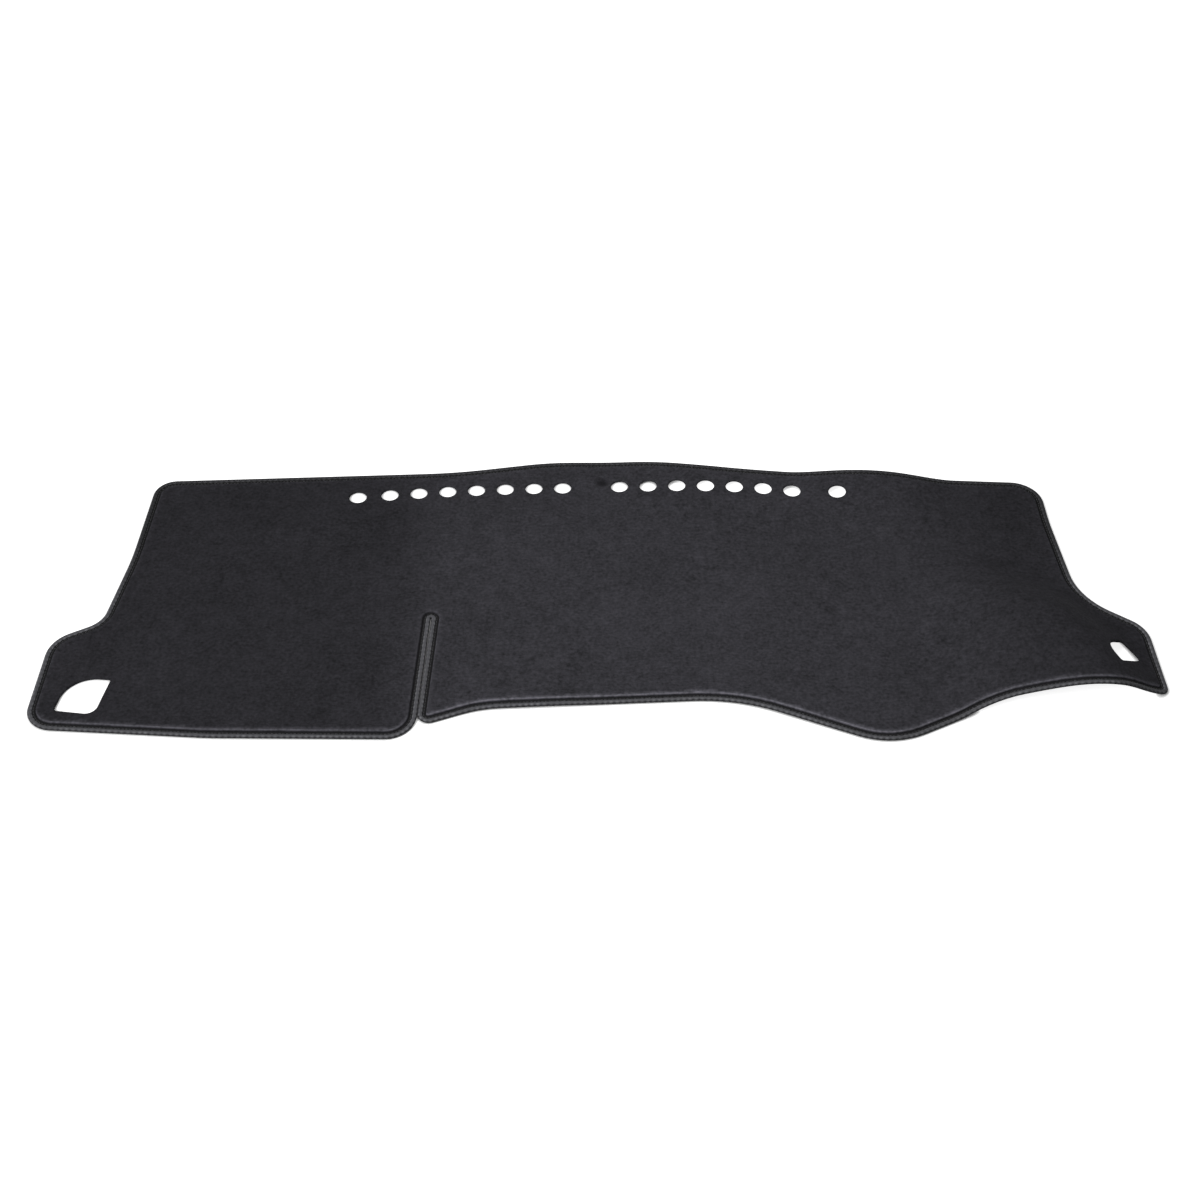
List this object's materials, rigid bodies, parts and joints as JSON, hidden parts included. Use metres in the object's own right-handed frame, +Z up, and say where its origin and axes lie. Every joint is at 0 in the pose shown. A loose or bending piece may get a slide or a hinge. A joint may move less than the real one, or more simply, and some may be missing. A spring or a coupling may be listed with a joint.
{
  "type": "dashboard cover mat",
  "caption": "Flat felt mat cut to the top of a car dashboard, with a taped edge, round defroster holes, two leaf-shaped side vent holes and a slit.",
  "frame": {"origin": "middle of the mat's underside, centred on its length and depth", "axes": "+X along the dashboard, towards the end that stands up in a fold; +Y towards the windscreen edge with the round holes; +Z up, out of the top face"},
  "size_m": [1.4178, 0.5164, 0.0503],
  "materials": {
    "felt": "matte needle-punched felt",
    "binding": "matte woven tape"
  },
  "bodies": {
    "root": {"felt_sheet": "felt", "edge_binding": "binding"}
  },
  "joints": []
}
